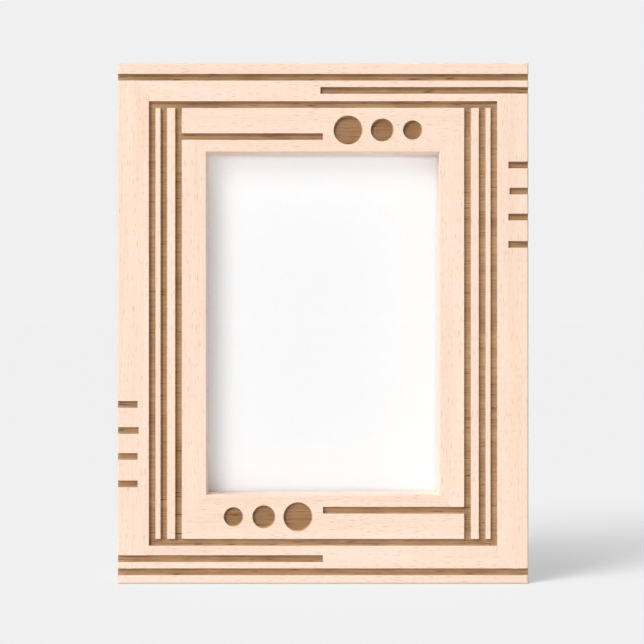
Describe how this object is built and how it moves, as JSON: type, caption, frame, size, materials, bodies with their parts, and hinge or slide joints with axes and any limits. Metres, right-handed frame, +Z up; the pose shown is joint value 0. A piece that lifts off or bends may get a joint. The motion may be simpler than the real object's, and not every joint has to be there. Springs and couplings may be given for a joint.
{
  "type": "engraved picture frame",
  "caption": "Mitred beech picture frame engraved with lines, ticks and dots, with glazing, print, turn-button back and folding easel strut.",
  "frame": {"origin": "middle of the flat face of the bottom rail that the frame stands on, half-way through the moulding's thickness", "axes": "+X to the right as seen from the front, +Y towards the back, so the engraved front faces -Y, +Z up"},
  "size_m": [0.1906, 0.0243, 0.2413],
  "materials": {
    "beech": "sanded beech with laser-darkened engraving",
    "glass": "clear polished",
    "paper": "plain white card",
    "hardboard": "black paper-faced hardboard",
    "zinc": "zinc plated",
    "nickel": "nickel plated"
  },
  "bodies": {
    "frame": {"top_rail": "beech", "bottom_rail": "beech", "left_stile": "beech", "right_stile": "beech", "v_nail_1": "zinc", "v_nail_2": "zinc", "v_nail_3": "zinc", "v_nail_4": "zinc", "v_nail_5": "zinc", "v_nail_6": "zinc", "v_nail_7": "zinc", "v_nail_8": "zinc", "glazing": "glass", "print": "paper", "backing_board": "hardboard", "hinge_leaf_board": "zinc", "hinge_pin": "zinc", "hinge_rivet_1": "zinc", "hinge_rivet_2": "zinc", "button_screw_1": "nickel", "button_screw_2": "nickel", "button_screw_3": "nickel", "button_screw_4": "nickel", "hanger_upright": "nickel", "hanger_upright_nail_1": "nickel", "hanger_upright_nail_2": "nickel", "hanger_sideways": "nickel", "hanger_sideways_nail_1": "nickel", "hanger_sideways_nail_2": "nickel"},
    "easel": {"strut": "hardboard", "hinge_leaf_strut": "zinc", "hinge_rivet_3": "zinc", "hinge_rivet_4": "zinc"},
    "button_upper_left": {"turn_button_1": "nickel"},
    "button_lower_left": {"turn_button_2": "nickel"},
    "button_lower_right": {"turn_button_3": "nickel"},
    "button_upper_right": {"turn_button_4": "nickel"}
  },
  "joints": [
    {"name": "strut_swing", "type": "hinge", "parent": "frame", "child": "easel", "pos_m": [0, 0.01162, 0.15275], "axis": [1, 0, 0], "range_deg": [0, 26]},
    {"name": "button_upper_left_turn", "type": "hinge", "parent": "frame", "child": "button_upper_left", "pos_m": [-0.0712, 0.0103, 0.17265], "axis": [0, 1, 0], "range_deg": [-90, 90]},
    {"name": "button_lower_left_turn", "type": "hinge", "parent": "frame", "child": "button_lower_left", "pos_m": [-0.0712, 0.0103, 0.06865], "axis": [0, 1, 0], "range_deg": [-90, 90]},
    {"name": "button_lower_right_turn", "type": "hinge", "parent": "frame", "child": "button_lower_right", "pos_m": [0.0712, 0.0103, 0.06865], "axis": [0, 1, 0], "range_deg": [-90, 90]},
    {"name": "button_upper_right_turn", "type": "hinge", "parent": "frame", "child": "button_upper_right", "pos_m": [0.0712, 0.0103, 0.17265], "axis": [0, 1, 0], "range_deg": [-90, 90]}
  ]
}
